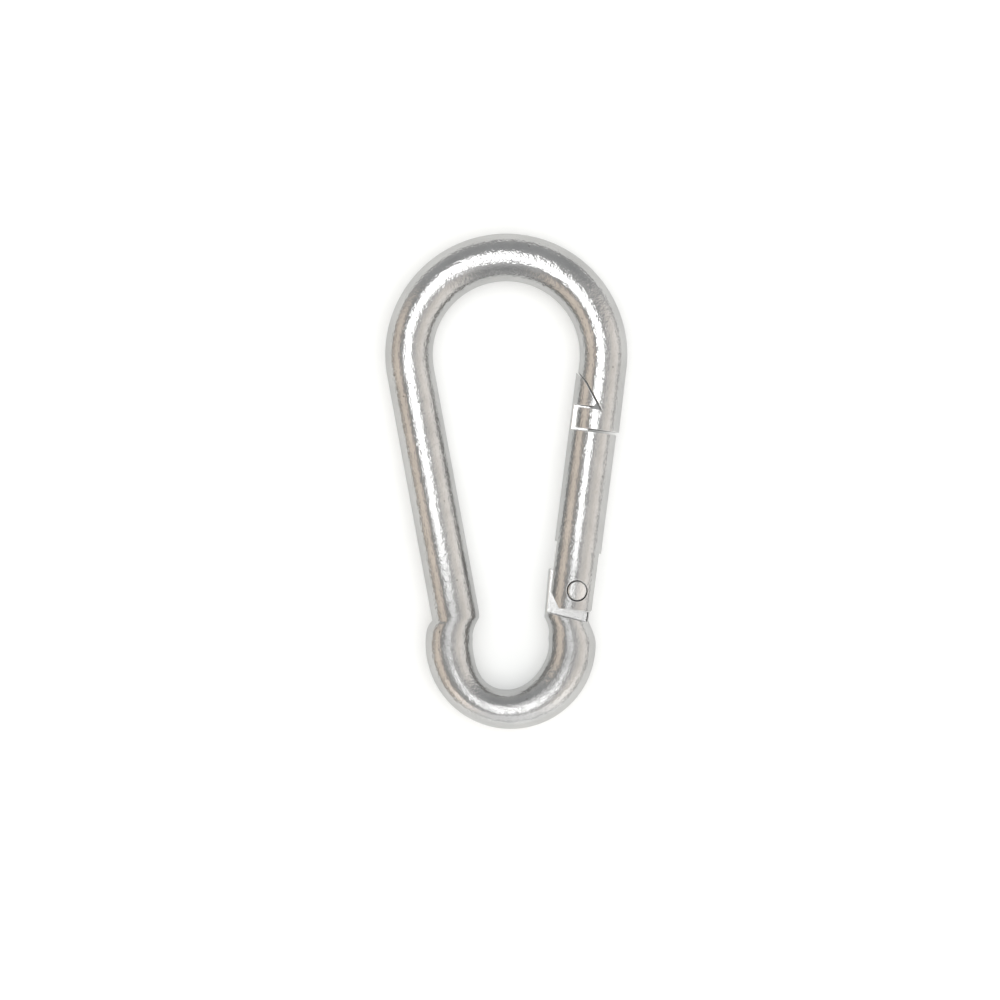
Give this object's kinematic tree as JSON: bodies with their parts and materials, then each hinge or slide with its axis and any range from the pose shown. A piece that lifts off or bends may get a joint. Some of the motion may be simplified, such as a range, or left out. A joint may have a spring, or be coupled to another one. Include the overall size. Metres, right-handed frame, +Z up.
{
  "type": "carbine snap hook",
  "caption": "Pear-shaped bent-bar snap hook with a pinched small eye and an inward-opening sprung gate that latches in a forked nose.",
  "frame": {"origin": "middle of the footprint, on the surface that the hook lies on", "axes": "+Y along the hook towards the large eye, +X across towards the gate, +Z up through the plane of the eyes"},
  "size_m": [0.0392, 0.08, 0.0077],
  "materials": {
    "plated_bar": "bright zinc plating on bent round steel bar, softly mottled",
    "plated_gate": "bright zinc plating on drawn steel bar, milled latch and hinge",
    "plated_rivet": "zinc-plated rivet head, lightly dimpled",
    "plunger_steel": "ground steel pin, oiled",
    "spring_steel": "drawn spring wire"
  },
  "bodies": {
    "hook": {"hook_body": "plated_bar"},
    "gate": {"gate": "plated_gate", "hinge_rivet": "plated_rivet", "return_spring": "spring_steel"},
    "plunger": {"spring_plunger": "plunger_steel"}
  },
  "joints": [
    {"name": "gate_hinge", "type": "hinge", "parent": "hook", "child": "gate", "pos_m": [0.01079, -0.01777, 0.00385], "axis": [0, 0, 1], "range_deg": [0, 36], "stiffness_Nm_per_rad": 0.067, "springref_deg": -17.19},
    {"name": "plunger_slide", "type": "slide", "parent": "gate", "child": "plunger", "axis": [0.1425, 0.9898, 0], "range_m": [0, 0.0022], "deforming": ["return_spring"]}
  ],
  "couplings": [
    {"joint": "plunger_slide", "follows": "gate_hinge", "m_per_rad": 0.0034}
  ]
}
